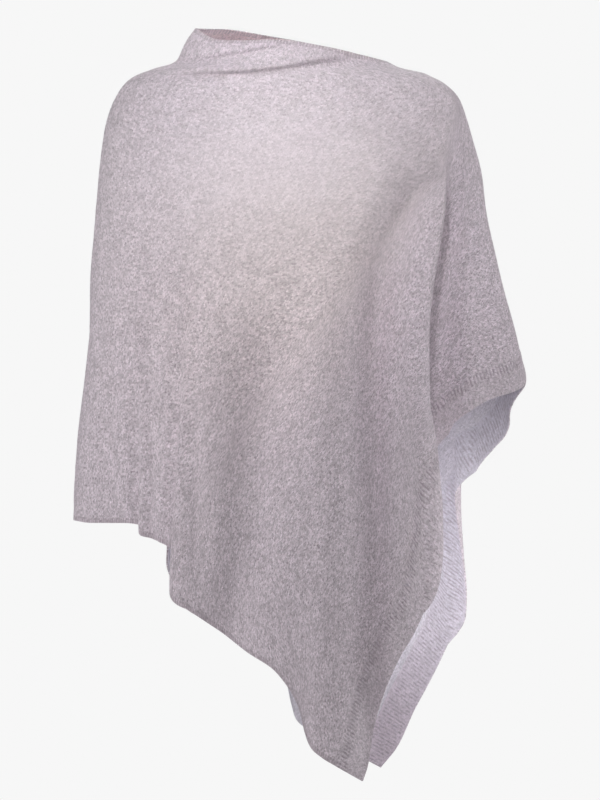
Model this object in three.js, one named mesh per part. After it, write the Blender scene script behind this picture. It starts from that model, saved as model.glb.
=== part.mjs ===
import * as THREE from "three";

// Knitted poncho sweater, filled out as it is worn. Millimetres, +Z up, -Y is the front, and the origin
// is the middle of the neck at shoulder height. One long knitted rectangle is folded at one arm. Its upper
// long edge is the neck and then a seam over the other shoulder and arm, its lower long edge is the hem,
// and its two short ends are ribbed bands that hang open, one in front and one behind.

// Cloth
const wallThickness = 2.0;
const seamGap = 0.34;
const bandWidth = 36;
const ribPitch = 4.6;
const ribHeight = 0.6;
const bandRows = 2;

// Grid of each half: rows down the cloth, and how close together the rows near the neck lie
const panelRows = 29;
const firstRowStep = 7;
const fallPower = 2.6;
const levelZ = -300;

// Roundness of the sections: 1 is an ellipse, less is fuller
const sectionFullness = 0.88;

// Level sections through the worn form: its left and right ends and how far it stands out in front and behind
const sections = [
  { z: 40, left: -104, right: 98, front: 44, back: 46 },
  { z: 22, left: -117, right: 104, front: 58, back: 56 },
  { z: 10, left: -123, right: 107, front: 64, back: 61 },
  { z: 0, left: -128, right: 110, front: 69, back: 65 },
  { z: -6, left: -136, right: 119, front: 73, back: 69 },
  { z: -10, left: -152, right: 128, front: 76, back: 72 },
  { z: -18, left: -174, right: 157, front: 82, back: 79 },
  { z: -29, left: -190, right: 180, front: 86, back: 87 },
  { z: -45, left: -200, right: 195, front: 92, back: 96 },
  { z: -66, left: -208, right: 203, front: 99, back: 104 },
  { z: -90, left: -213, right: 210, front: 107, back: 109 },
  { z: -132, left: -218, right: 221, front: 121, back: 115 },
  { z: -174, left: -222, right: 226, front: 132, back: 120 },
  { z: -225, left: -226, right: 237, front: 138, back: 124 },
  { z: -263, left: -228, right: 246, front: 140, back: 126 },
  { z: -310, left: -229, right: 259, front: 141, back: 128 },
  { z: -340, left: -232, right: 266, front: 142, back: 129 },
  { z: -367, left: -235, right: 272, front: 142, back: 129 },
  { z: -420, left: -241, right: 268, front: 142, back: 130 },
  { z: -480, left: -246, right: 262, front: 141, back: 130 },
  { z: -529, left: -248, right: 258, front: 140, back: 130 },
  { z: -640, left: -250, right: 250, front: 137, back: 128 },
  { z: -740, left: -250, right: 245, front: 135, back: 126 },
  { z: -840, left: -250, right: 240, front: 134, back: 125 },
];

// Edges of the two halves, seen from the front. Where a fold turns an edge back, the points are those
// of the cloth before it is turned.
const neckEdge = {
  front: [
    { x: -106, z: 36 }, { x: -92, z: 26 }, { x: -80, z: 22 }, { x: -56, z: 21 }, { x: -18, z: 22 },
    { x: 7, z: 20 }, { x: 36, z: 15 }, { x: 70, z: 8 }, { x: 110, z: -2 },
  ],
  back: [
    { x: -106, z: 36 }, { x: -76, z: 36 }, { x: -56, z: 34 }, { x: -33, z: 30 }, { x: 7, z: 23 },
    { x: 66, z: 11 }, { x: 110, z: -2 },
  ],
};
const hemEdge = {
  front: [
    { x: -248, z: -529 }, { x: -228, z: -532 }, { x: -186, z: -532 }, { x: -177, z: -534 },
    { x: -171, z: -539 }, { x: -165, z: -546 }, { x: -156, z: -550 }, { x: -149, z: -553 },
    { x: -142, z: -563 }, { x: -134, z: -590 }, { x: -126, z: -616 }, { x: -118, z: -629 },
    { x: -105, z: -638 }, { x: -74, z: -659 }, { x: -45, z: -681 }, { x: -18, z: -699 },
    { x: -2, z: -718 }, { x: 6, z: -731 }, { x: 13, z: -748 }, { x: 18, z: -770 },
    { x: 25, z: -788 }, { x: 38, z: -800 },
  ],
  back: [
    { x: -248, z: -529 }, { x: -200, z: -529 }, { x: -170, z: -534 }, { x: -152, z: -546 },
    { x: -140, z: -570 }, { x: -126, z: -608 }, { x: -108, z: -630 }, { x: -56, z: -666 },
    { x: -24, z: -690 }, { x: -4, z: -714 }, { x: 2, z: -740 }, { x: 8, z: -760 },
    { x: 20, z: -771 }, { x: 54, z: -791 },
  ],
};

// Short ends from the hanging tip up to the end of the shoulder seam; lean is the way the ribs run,
// in degrees from level, back into the cloth
const ribEdge = {
  front: [
    { x: 84, z: -827, lean: 150 }, { x: 90, z: -809, lean: 149 }, { x: 96, z: -772, lean: 147 },
    { x: 103, z: -744, lean: 146 }, { x: 113, z: -715, lean: 145 }, { x: 125, z: -689, lean: 144 },
    { x: 144, z: -656, lean: 143 }, { x: 155, z: -630, lean: 142 }, { x: 160, z: -605, lean: 140 },
    { x: 165, z: -560, lean: 135 }, { x: 171, z: -495, lean: 125 }, { x: 179, z: -446, lean: 115 },
    { x: 188, z: -420, lean: 109 }, { x: 207, z: -404, lean: 106 }, { x: 230, z: -390, lean: 105 },
    { x: 248, z: -381, lean: 104 }, { x: 272, z: -367, lean: 103 },
  ],
  back: [
    { x: 106, z: -816, lean: 152 }, { x: 125, z: -792, lean: 149 }, { x: 145, z: -749, lean: 147 },
    { x: 160, z: -721, lean: 145 }, { x: 176, z: -689, lean: 143 }, { x: 188, z: -660, lean: 142 },
    { x: 193, z: -638, lean: 141 }, { x: 194, z: -618, lean: 139 }, { x: 195, z: -582, lean: 136 },
    { x: 196, z: -545, lean: 132 }, { x: 199, z: -512, lean: 127 }, { x: 208, z: -488, lean: 122 },
    { x: 220, z: -466, lean: 118 }, { x: 236, z: -447, lean: 115 }, { x: 250, z: -430, lean: 112 },
    { x: 254, z: -416, lean: 109 }, { x: 254, z: -400, lean: 106 }, { x: 256, z: -385, lean: 104 },
    { x: 272, z: -367, lean: 103 },
  ],
};

// Columns of each half run from its top edge to its bottom edge. top counts 0 to 1 along the neck and 1 to 2
// along the seam, bottom counts 0 to 1 along the hem and 1 to 2 along the band, and levelX is where a long
// column passes the height levelZ.
const columnGuides = {
  front: [
    { top: 0.0, bottom: 0.0, levelX: -229, columns: 5 },
    { top: 0.06, bottom: 0.13, levelX: -192, columns: 4 },
    { top: 0.09, bottom: 0.22, levelX: -158, columns: 2 },
    { top: 0.12, bottom: 0.27, levelX: -138, columns: 6 },
    { top: 0.22, bottom: 0.43, levelX: -98, columns: 8 },
    { top: 0.78, bottom: 1.0, levelX: 66, columns: 6 },
    { top: 1.08, bottom: 1.5, levelX: 130, columns: 3 },
    { top: 1.18, bottom: 1.66, levelX: 144, columns: 8 },
    { top: 1.42, bottom: 1.83, levelX: 186, columns: 4 },
    { top: 1.72, bottom: 1.94, levelX: 232, columns: 4 },
    { top: 2.0, bottom: 2.0, levelX: 256, columns: 0 },
  ],
  back: [
    { top: 0.0, bottom: 0.0, levelX: -229, columns: 5 },
    { top: 0.14, bottom: 0.24, levelX: -160, columns: 6 },
    { top: 0.24, bottom: 0.42, levelX: -104, columns: 6 },
    { top: 0.78, bottom: 1.0, levelX: 80, columns: 6 },
    { top: 1.04, bottom: 1.46, levelX: 164, columns: 3 },
    { top: 1.14, bottom: 1.66, levelX: 175, columns: 9 },
    { top: 1.42, bottom: 1.86, levelX: 215, columns: 4 },
    { top: 1.72, bottom: 1.95, levelX: 244, columns: 3 },
    { top: 2.0, bottom: 2.0, levelX: 256, columns: 0 },
  ],
};

// Folds where the cloth turns under itself. The part beyond the line, on the outer side (1 right, -1 left),
// is set back by a share of the form's depth; overlap is how far it runs back under. The fold is full from
// fullZ down to easeZ, and gone by endZ.
const turnedFolds = {
  front: [
    {
      outer: 1, setBack: 0.36, halfWidth: 20, overlap: 12,
      startZ: -60, fullZ: -210, easeZ: -840, endZ: -900,
      path: [
        { x: 190, z: -60 }, { x: 182, z: -122 }, { x: 178, z: -163 },
        { x: 170, z: -207 }, { x: 156, z: -310 },
        { x: 158, z: -391 }, { x: 163, z: -428 }, { x: 168, z: -473 },
        { x: 172, z: -523 }, { x: 173, z: -620 },
      ],
    },
    {
      outer: -1, setBack: 0.17, halfWidth: 16, overlap: 9,
      startZ: -230, fullZ: -500, easeZ: -840, endZ: -900,
      path: [
        { x: -108, z: -161 }, { x: -118, z: -310 }, { x: -127, z: -474 },
        { x: -132, z: -556 }, { x: -133, z: -620 },
      ],
    },
    {
      outer: -1, setBack: 0.13, halfWidth: 12, overlap: 5,
      startZ: -300, fullZ: -510, easeZ: -840, endZ: -900,
      path: [
        { x: -169, z: -276 }, { x: -171, z: -545 },
      ],
    },
  ],
  back: [
    {
      outer: 1, setBack: 0.3, halfWidth: 20, overlap: 11,
      startZ: -110, fullZ: -330, easeZ: -640, endZ: -720,
      path: [
        { x: 205, z: -110 }, { x: 200, z: -250 }, { x: 195, z: -390 },
        { x: 195, z: -510 }, { x: 198, z: -567 },
        { x: 203, z: -620 },
      ],
    },
    {
      outer: -1, setBack: 0.15, halfWidth: 16, overlap: 6,
      startZ: -260, fullZ: -500, easeZ: -840, endZ: -900,
      path: [
        { x: -120, z: -200 }, { x: -135, z: -420 }, { x: -142, z: -620 },
      ],
    },
  ],
};

// Soft troughs: depth is how far the cloth sinks along the line, fading in from startZ and out by endZ
const softFolds = {
  front: [
    {
      depth: 10, halfWidth: 27, startZ: -270, endZ: -900,
      path: [{ x: -36, z: -350 }, { x: -47, z: -423 }, { x: -59, z: -570 }, { x: -77, z: -644 }],
    },
    {
      depth: 4, halfWidth: 22, startZ: -400, endZ: -900,
      path: [{ x: 26, z: -420 }, { x: 22, z: -664 }, { x: 16, z: -760 }],
    },
    {
      depth: 15, halfWidth: 23, startZ: -60, endZ: -900,
      path: [
        { x: 178, z: -120 }, { x: 140, z: -165 }, { x: 112, z: -202 }, { x: 98, z: -245 },
        { x: 95, z: -640 }, { x: 97, z: -760 },
      ],
    },
    {
      depth: -6, halfWidth: 30, startZ: -220, endZ: -900,
      path: [{ x: 62, z: -300 }, { x: 60, z: -640 }, { x: 64, z: -760 }],
    },
    {
      depth: 18, halfWidth: 54, startZ: -110, endZ: -700,
      path: [{ x: 178, z: -120 }, { x: 166, z: -310 }, { x: 170, z: -430 }, { x: 176, z: -600 }],
    },
    {
      depth: 4, halfWidth: 26, startZ: -120, endZ: -330,
      path: [{ x: -97, z: -130 }, { x: -92, z: -330 }],
    },
    {
      depth: 4, halfWidth: 14, startZ: -300, endZ: -560,
      path: [{ x: -205, z: -300 }, { x: -212, z: -530 }],
    },
  ],
  back: [
    {
      depth: 6, halfWidth: 24, startZ: -260, endZ: -900,
      path: [{ x: -40, z: -260 }, { x: -62, z: -700 }],
    },
    {
      depth: 6, halfWidth: 24, startZ: -340, endZ: -900,
      path: [{ x: 40, z: -340 }, { x: 30, z: -780 }],
    },
    {
      depth: 5, halfWidth: 16, startZ: -480, endZ: -900,
      path: [{ x: 112, z: -480 }, { x: 100, z: -790 }],
    },
    {
      depth: 5, halfWidth: 20, startZ: -90, endZ: -360,
      path: [{ x: 170, z: -90 }, { x: 110, z: -360 }],
    },
  ],
};

// Creases of the slouched neck: they run across, and depth sinks (or with a minus sign swells) along the line
const neckCreases = {
  front: [
    { depth: 7, halfHeight: 6, endX: 5, path: [
      { x: -129, z: -1 }, { x: -85, z: 2 }, { x: -52, z: 8 }, { x: -29, z: 12 }, { x: 5, z: 15 },
    ] },
    { depth: 9, halfHeight: 7, endX: 95, path: [
      { x: -129, z: -17 }, { x: -90, z: -16 }, { x: -38, z: -13 }, { x: 7, z: -7 }, { x: 39, z: -2 },
      { x: 95, z: 3 },
    ] },
    { depth: -5, halfHeight: 6, endX: 60, path: [
      { x: -129, z: -8 }, { x: -52, z: -3 }, { x: 7, z: 4 }, { x: 60, z: 8 },
    ] },
  ],
  back: [
    { depth: 5, halfHeight: 10, endX: 60, path: [{ x: -129, z: 2 }, { x: -60, z: 6 }, { x: 60, z: -6 }] },
  ],
};

const clamp01 = (value) => Math.min(1, Math.max(0, value));
const smooth = (value) => {
  const t = clamp01(value);
  return t * t * (3 - 2 * t);
};
const lerp = (a, b, t) => a + (b - a) * t;

// A smooth curve through a table's rows that never overshoots them, read along one column of the table
function tableCurve(rows, along, column) {
  const sorted = [...rows].sort((a, b) => a[along] - b[along]);
  const p = sorted.map((row) => row[along]);
  const v = sorted.map((row) => row[column]);
  const last = p.length - 1;
  const slope = [];
  for (let i = 0; i < last; i += 1) {
    slope.push((v[i + 1] - v[i]) / (p[i + 1] - p[i]));
  }
  const tangent = p.map((_, i) => {
    if (i === 0) return slope[0];
    if (i === last) return slope[last - 1];
    if (slope[i - 1] * slope[i] <= 0) return 0;
    return (2 * slope[i - 1] * slope[i]) / (slope[i - 1] + slope[i]);
  });
  return (at) => {
    if (at <= p[0]) return v[0];
    if (at >= p[last]) return v[last];
    let i = 0;
    while (at > p[i + 1]) i += 1;
    const h = p[i + 1] - p[i];
    const t = (at - p[i]) / h;
    const t2 = t * t;
    const t3 = t2 * t;
    return (2 * t3 - 3 * t2 + 1) * v[i] + (t3 - 2 * t2 + t) * h * tangent[i]
      + (3 * t2 - 2 * t3) * v[i + 1] + (t3 - t2) * h * tangent[i + 1];
  };
}

// A curve through the rows of an outline, read by the share of its length
function outlineCurve(rows) {
  const at = [0];
  for (let i = 1; i < rows.length; i += 1) {
    at.push(at[i - 1] + Math.hypot(rows[i].x - rows[i - 1].x, rows[i].z - rows[i - 1].z));
  }
  const total = at[at.length - 1];
  const placed = rows.map((row, i) => ({ ...row, share: at[i] / total }));
  const read = {};
  for (const column of Object.keys(rows[0])) {
    read[column] = tableCurve(placed, "share", column);
  }
  return (share) => {
    const point = {};
    for (const column of Object.keys(read)) {
      point[column] = read[column](share);
    }
    return point;
  };
}

const leftAt = tableCurve(sections, "z", "left");
const rightAt = tableCurve(sections, "z", "right");
const depthAt = {
  front: tableCurve(sections, "z", "front"),
  back: tableCurve(sections, "z", "back"),
};

// Each fold's line, read by height, and each crease's line, read across
for (const half of ["front", "back"]) {
  for (const fold of [...turnedFolds[half], ...softFolds[half]]) {
    fold.lineX = tableCurve(fold.path, "z", "x");
  }
  for (const crease of neckCreases[half]) {
    crease.lineZ = tableCurve(crease.path, "x", "z");
  }
}

// The middle of the cloth at an angle round the form: 0 is the fold at the arm, positive angles are the
// front, negative the back, and plus or minus pi is the seam
function clothPoint(angle, z) {
  const half = angle >= 0 ? "front" : "back";
  const outward = half === "front" ? -1 : 1;
  const turn = Math.abs(angle);
  const middle = (leftAt(z) + rightAt(z)) / 2;
  const reach = (rightAt(z) - leftAt(z)) / 2;
  const plainX = middle - reach * Math.cos(turn);
  const fullness = Math.sin(Math.min(turn, Math.PI));
  let x = plainX;
  let depth = depthAt[half](z) * Math.pow(Math.max(fullness, 0), sectionFullness);
  for (const fold of turnedFolds[half]) {
    const growing = smooth((fold.startZ - z) / (fold.startZ - fold.fullZ));
    const strength = growing * smooth((z - fold.endZ) / (fold.easeZ - fold.endZ));
    const across = (plainX - fold.lineX(z)) / fold.halfWidth;
    depth *= 1 - fold.setBack * strength * smooth((1 + across * fold.outer) / 2);
    if (Math.abs(across) < 1) {
      x -= fold.overlap * strength * Math.sin(Math.PI * across);
    }
  }
  let sunk = 0;
  for (const fold of softFolds[half]) {
    const fadeIn = smooth((fold.startZ - z) / 90);
    const fadeOut = smooth((z - fold.endZ) / 90);
    const across = (plainX - fold.lineX(z)) / fold.halfWidth;
    sunk += fold.depth * fadeIn * fadeOut * Math.exp(-across * across);
  }
  for (const crease of neckCreases[half]) {
    const fadeOut = smooth((crease.endX - plainX) / 60);
    const above = (z - crease.lineZ(plainX)) / crease.halfHeight;
    sunk += crease.depth * fadeOut * Math.exp(-above * above);
  }
  depth -= sunk * smooth(fullness / 0.6);
  const seamShift = (seamGap / 2) * smooth((turn - 2.7) / 0.4);
  return new THREE.Vector3(x, outward * (depth + seamShift), z);
}

// The angle at which the plain form passes an outline's point
function angleOf(half, point) {
  const middle = (leftAt(point.z) + rightAt(point.z)) / 2;
  const reach = (rightAt(point.z) - leftAt(point.z)) / 2;
  const turn = Math.acos(Math.min(1, Math.max(-1, (middle - point.x) / reach)));
  return half === "front" ? turn : -turn;
}

function clothNormal(angle, z) {
  const angleStep = 0.01;
  const heightStep = 1.5;
  const a0 = Math.max(-Math.PI, angle - angleStep);
  const a1 = Math.min(Math.PI, angle + angleStep);
  const round = clothPoint(a1, z).sub(clothPoint(a0, z));
  const up = clothPoint(angle, z + heightStep).sub(clothPoint(angle, z - heightStep));
  return round.cross(up).normalize();
}

// A closed wall from rows of stations; a station holds the middle point, the normal and what is raised on it
function wallGeometry(grid) {
  const positions = [];
  const known = new Map();
  const idOf = (v) => {
    const key = `${v.x.toFixed(3)},${v.y.toFixed(3)},${v.z.toFixed(3)}`;
    if (!known.has(key)) {
      known.set(key, positions.length / 3);
      positions.push(v.x, v.y, v.z);
    }
    return known.get(key);
  };
  const moved = (station, distance) => station.point.clone().addScaledVector(station.normal, distance);
  const outer = grid.map((line) => line.map((s) => idOf(moved(s, wallThickness / 2 + (s.raised ?? 0)))));
  const inner = grid.map((line) => line.map((s) => idOf(moved(s, -wallThickness / 2))));
  const indices = [];
  const triangle = (a, b, c) => {
    if (a !== b && b !== c && a !== c) indices.push(a, b, c);
  };
  const quad = (a, b, c, d) => {
    triangle(a, b, c);
    triangle(a, c, d);
  };
  const lastLine = grid.length - 1;
  const lastRow = grid[0].length - 1;
  for (let i = 0; i < lastLine; i += 1) {
    for (let j = 0; j < lastRow; j += 1) {
      quad(outer[i][j], outer[i][j + 1], outer[i + 1][j + 1], outer[i + 1][j]);
      quad(inner[i][j], inner[i + 1][j], inner[i + 1][j + 1], inner[i][j + 1]);
    }
    quad(outer[i][0], outer[i + 1][0], inner[i + 1][0], inner[i][0]);
    quad(outer[i][lastRow], inner[i][lastRow], inner[i + 1][lastRow], outer[i + 1][lastRow]);
  }
  for (let j = 0; j < lastRow; j += 1) {
    quad(outer[0][j], inner[0][j], inner[0][j + 1], outer[0][j + 1]);
    quad(outer[lastLine][j], outer[lastLine][j + 1], inner[lastLine][j + 1], inner[lastLine][j]);
  }
  const geometry = new THREE.BufferGeometry();
  geometry.setAttribute("position", new THREE.Float32BufferAttribute(positions, 3));
  geometry.setIndex(indices);
  geometry.computeVertexNormals();
  return geometry;
}

// The line a given distance in from a half's short end, along its ribs
function bandLine(half, distance) {
  const edge = outlineCurve(ribEdge[half]);
  return (share) => {
    const point = edge(share);
    const lean = THREE.MathUtils.degToRad(point.lean);
    const x = point.x + distance * Math.cos(lean);
    const z = point.z + distance * Math.sin(lean);
    return { x: lerp(x, rightAt(z), smooth((share - 0.9) / 0.1)), z };
  };
}

// Angles and heights of a half's grid: one list of stations for each column, from top edge to bottom edge
function panelColumns(half) {
  const neck = outlineCurve(neckEdge[half]);
  const joint = bandLine(half, bandWidth + seamGap);
  const hemRows = [...hemEdge[half], joint(0)];
  const hem = outlineCurve(hemRows);
  const seamTop = neckEdge[half][neckEdge[half].length - 1].z;
  const seamEnd = joint(1).z;
  const seamRows = [];
  const seamSteps = 24;
  for (let i = 0; i <= seamSteps; i += 1) {
    const z = lerp(seamTop, seamEnd, i / seamSteps);
    seamRows.push({ x: rightAt(z), z });
  }
  const seam = outlineCurve(seamRows);
  const guides = columnGuides[half];
  const columns = [];
  for (let g = 0; g < guides.length; g += 1) {
    const next = guides[g + 1] ?? guides[g];
    const steps = Math.max(guides[g].columns, 1);
    for (let i = 0; i < steps; i += 1) {
      const t = i / steps;
      const guide = {
        top: lerp(guides[g].top, next.top, t),
        bottom: lerp(guides[g].bottom, next.bottom, t),
        levelX: lerp(guides[g].levelX, next.levelX, t),
      };
      const top = guide.top <= 1 ? neck(guide.top) : seam(guide.top - 1);
      const bottom = guide.bottom <= 1 ? hem(guide.bottom) : joint(guide.bottom - 1);
      columns.push(columnStations(half, top, bottom, guide));
    }
  }
  return columns;
}

function columnStations(half, top, bottom, guide) {
  const sign = half === "front" ? 1 : -1;
  const topAngle = guide.top > 1 ? sign * Math.PI : angleOf(half, top);
  const bottomAngle = guide.bottom >= 2 ? sign * Math.PI : angleOf(half, bottom);
  const drop = Math.max(top.z - bottom.z, 1e-3);
  const levelShare = (top.z - levelZ) / drop;
  const levelWeight = smooth((top.z - levelZ) / 120) * smooth((levelZ - bottom.z) / 60);
  const levelAngle = angleOf(half, { x: guide.levelX, z: levelZ });
  const plainAngle = (share) => lerp(topAngle, bottomAngle, 1 - Math.pow(1 - share, fallPower));
  const guidedAngle = (share) => {
    if (share > levelShare) return lerp(levelAngle, bottomAngle, (share - levelShare) / (1 - levelShare));
    return lerp(topAngle, levelAngle, 1 - Math.pow(1 - share / levelShare, fallPower));
  };
  const fall = (share) => {
    const plain = plainAngle(share);
    const angle = levelWeight > 0 ? lerp(plain, guidedAngle(share), levelWeight) : plain;
    return { angle, z: lerp(top.z, bottom.z, share) };
  };
  const samples = 160;
  const length = [0];
  let before = clothPoint(topAngle, top.z);
  for (let i = 1; i <= samples; i += 1) {
    const at = fall(i / samples);
    const point = clothPoint(at.angle, at.z);
    length.push(length[i - 1] + point.distanceTo(before));
    before = point;
  }
  const total = length[samples];
  const growth = Math.min(0.75, Math.max(0, 1 - (firstRowStep * panelRows) / Math.max(total, 1)));
  const stations = [];
  let i = 0;
  for (let row = 0; row <= panelRows; row += 1) {
    const share = row / panelRows;
    const wanted = total * lerp(share, share * share, growth);
    while (i < samples - 1 && length[i + 1] < wanted) i += 1;
    const span = Math.max(length[i + 1] - length[i], 1e-6);
    const within = row === panelRows ? 1 : clamp01((i + clamp01((wanted - length[i]) / span)) / samples);
    const at = fall(within);
    const point = clothPoint(at.angle, at.z);
    const normal = clothNormal(at.angle, at.z);
    stations.push({ ...at, point, normal, bottomShare: guide.bottom });
  }
  return stations;
}

// The ribbed band along a half's short end: every second line of stations is a raised rib, and its inner
// edge follows the panel's edge at the seam gap
function bandGrid(half, columns) {
  const outerEdge = bandLine(half, 0);
  const onBand = columns.filter((column) => column[0].bottomShare >= 1);
  const lines = [];
  let count = 0;
  for (let c = 0; c < onBand.length - 1; c += 1) {
    const from = onBand[c][panelRows];
    const to = onBand[c + 1][panelRows];
    const steps = Math.max(2, Math.round(from.point.distanceTo(to.point) / (ribPitch / 2)));
    const isLast = c === onBand.length - 2;
    for (let i = 0; i < steps + (isLast ? 1 : 0); i += 1) {
      const t = i / steps;
      const share = lerp(from.bottomShare, to.bottomShare, t) - 1;
      lines.push(bandLineStations(half, from, to, t, share, outerEdge, count % 2 === 1));
      count += 1;
    }
  }
  return lines;
}

function bandLineStations(half, from, to, t, share, outerEdge, isRib) {
  const sign = half === "front" ? 1 : -1;
  const raised = isRib ? ribHeight : 0;
  const jointPoint = from.point.clone().lerp(to.point, t);
  const jointNormal = from.normal.clone().lerp(to.normal, t).normalize();
  const edge = outerEdge(share);
  const edgeAngle = share >= 1 ? sign * Math.PI : angleOf(half, edge);
  const edgePoint = clothPoint(edgeAngle, edge.z);
  const ribWay = edgePoint.clone().sub(jointPoint).normalize();
  const edgeWay = to.point.clone().sub(from.point).normalize();
  const slant = Math.max(ribWay.clone().cross(edgeWay).length(), 0.4);
  const gapPoint = jointPoint.addScaledVector(ribWay, seamGap / slant);
  const stations = [{ point: gapPoint, normal: jointNormal, raised }];
  const jointAngle = lerp(from.angle, to.angle, t);
  const jointZ = lerp(from.z, to.z, t);
  for (let row = 1; row <= bandRows; row += 1) {
    const down = row / bandRows;
    const angle = lerp(jointAngle, edgeAngle, down);
    const z = lerp(jointZ, edge.z, down);
    stations.push({ point: clothPoint(angle, z), normal: clothNormal(angle, z), raised });
  }
  return stations;
}

function clothMaterial(color) {
  return new THREE.MeshStandardMaterial({ color, roughness: 0.95, metalness: 0 });
}

function namedMesh(name, geometry, color) {
  const mesh = new THREE.Mesh(geometry, clothMaterial(color));
  mesh.name = name;
  return mesh;
}

const frontColumns = panelColumns("front");
const backColumns = panelColumns("back");

const poncho = new THREE.Group();
poncho.name = "poncho";
poncho.add(namedMesh(
  "knit_panel",
  wallGeometry([...backColumns.slice(1).reverse(), ...frontColumns]),
  "#b9b0b7",
));
poncho.add(namedMesh("front_rib_band", wallGeometry(bandGrid("front", frontColumns)), "#b1a8af"));
poncho.add(namedMesh("back_rib_band", wallGeometry(bandGrid("back", backColumns).reverse()), "#b1a8af"));

export default poncho;
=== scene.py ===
import math
import bpy
import numpy as np
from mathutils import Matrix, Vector, noise


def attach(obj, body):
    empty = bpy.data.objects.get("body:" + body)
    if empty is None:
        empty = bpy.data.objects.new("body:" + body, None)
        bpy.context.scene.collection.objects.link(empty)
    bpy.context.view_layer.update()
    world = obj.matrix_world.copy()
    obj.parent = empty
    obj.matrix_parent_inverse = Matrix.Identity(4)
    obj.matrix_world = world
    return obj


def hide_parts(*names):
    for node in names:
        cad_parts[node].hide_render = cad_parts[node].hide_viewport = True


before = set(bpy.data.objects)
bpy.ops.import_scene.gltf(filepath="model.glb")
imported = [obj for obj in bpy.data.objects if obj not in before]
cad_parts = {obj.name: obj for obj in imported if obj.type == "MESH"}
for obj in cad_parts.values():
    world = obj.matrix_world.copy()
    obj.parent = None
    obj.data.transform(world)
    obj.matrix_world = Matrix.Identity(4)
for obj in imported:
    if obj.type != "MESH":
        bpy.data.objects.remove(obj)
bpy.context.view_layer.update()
bpy.ops.object.select_all(action="DESELECT")
print("frame loaded")

# The tables are in millimetres, in the CAD's frame, and the meshes are made in metres
mm = 0.001

# The flat width and length are in metres
cloth = {
    "thickness": 1.7,
    "flatWidth": 0.60,
    "flatLength": 1.36,
    "roundness": 0.88,
    "columnsInHalf": 164,
    "rowsNearNeck": 54,
    "nearNeck": 0.16,
    "rowsBelow": 74,
    "fallPower": 1.8,
    "straightFallFrom": 0.6,
    "jointPullFrom": 0.35,
    "jointPullPower": 1.4,
    "seamJoinFrom": 0.9,
}

# Samples along each edge before the grid's columns and rows are spread evenly
samples = {"neck": 200, "seam": 300, "hem": 500, "shortEnd": 400, "fall": 321}

# The ribs stand tall in a row between strokeRise and strokeFall, which are distances from the short end. The
# inner side has innerShare of their height.
ribs = {
    "width": 36.0,
    "count": 138,
    "samplesPerRib": 6,
    "rowsAcross": 12,
    "height": 0.22,
    "strokeHeight": 1.25,
    "strokeRise": (25.0, 28.0),
    "strokeFall": (36.5, 34.0),
    "plainAtJoint": 5,
    "innerShare": 0.35,
}

# Level sections: height, left end, right end, how far it stands out in front and behind
sections = [
    (40, -104, 98, 44, 46), (22, -117, 104, 58, 56), (10, -123, 107, 64, 61), (0, -128, 110, 69, 65),
    (-6, -136, 119, 73, 69), (-10, -152, 128, 76, 72), (-18, -174, 157, 82, 79), (-29, -190, 180, 86, 87),
    (-45, -200, 195, 92, 96), (-66, -208, 203, 99, 104), (-90, -213, 210, 107, 109),
    (-132, -218, 221, 121, 115), (-174, -222, 226, 132, 120), (-225, -226, 237, 138, 124),
    (-263, -228, 246, 140, 126), (-310, -229, 259, 141, 128), (-340, -232, 266, 142, 129),
    (-367, -235, 272, 142, 129), (-420, -241, 268, 142, 130), (-480, -246, 262, 141, 130),
    (-529, -248, 258, 140, 130), (-640, -250, 250, 137, 128), (-740, -250, 245, 135, 126),
    (-840, -250, 240, 134, 125),
]

# Edges of the two halves, across and height
neckEdge = {
    "front": [
        (-106, 36), (-92, 26), (-80, 22), (-56, 21), (-18, 22), (7, 20), (36, 15), (70, 8), (110, -2),
    ],
    "back": [(-106, 36), (-76, 36), (-56, 34), (-33, 30), (7, 23), (66, 11), (110, -2)],
}
hemEdge = {
    "front": [
        (-248, -529), (-228, -532), (-186, -532), (-177, -534), (-171, -539), (-165, -546), (-156, -550),
        (-149, -553), (-142, -563), (-134, -590), (-126, -616), (-118, -629), (-105, -638), (-74, -659),
        (-45, -681), (-18, -699), (-2, -718), (6, -731), (13, -748), (18, -770), (25, -788), (38, -800),
    ],
    "back": [
        (-248, -529), (-200, -529), (-170, -534), (-152, -546), (-140, -570), (-126, -608), (-108, -630),
        (-56, -666), (-24, -690), (-4, -714), (2, -740), (8, -760), (20, -771), (54, -791),
    ],
}
# Short ends from the hanging tip up to the seam: across, height, and the way the ribs run in degrees
ribEdge = {
    "front": [
        (84, -827, 150), (90, -809, 149), (96, -772, 147), (103, -744, 146), (113, -715, 145),
        (125, -689, 144), (144, -656, 143), (155, -630, 142), (160, -605, 140), (165, -560, 135),
        (171, -495, 125), (179, -446, 115), (188, -420, 109), (207, -404, 106), (230, -390, 105),
        (248, -381, 104), (272, -367, 103),
    ],
    "back": [
        (106, -816, 152), (125, -792, 149), (145, -749, 147), (160, -721, 145), (176, -689, 143),
        (188, -660, 142), (193, -638, 141), (194, -618, 139), (195, -582, 136), (196, -545, 132),
        (199, -512, 127), (208, -488, 122), (220, -466, 118), (236, -447, 115), (250, -430, 112),
        (254, -416, 109), (254, -400, 106), (256, -385, 104), (272, -367, 103),
    ],
}

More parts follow.
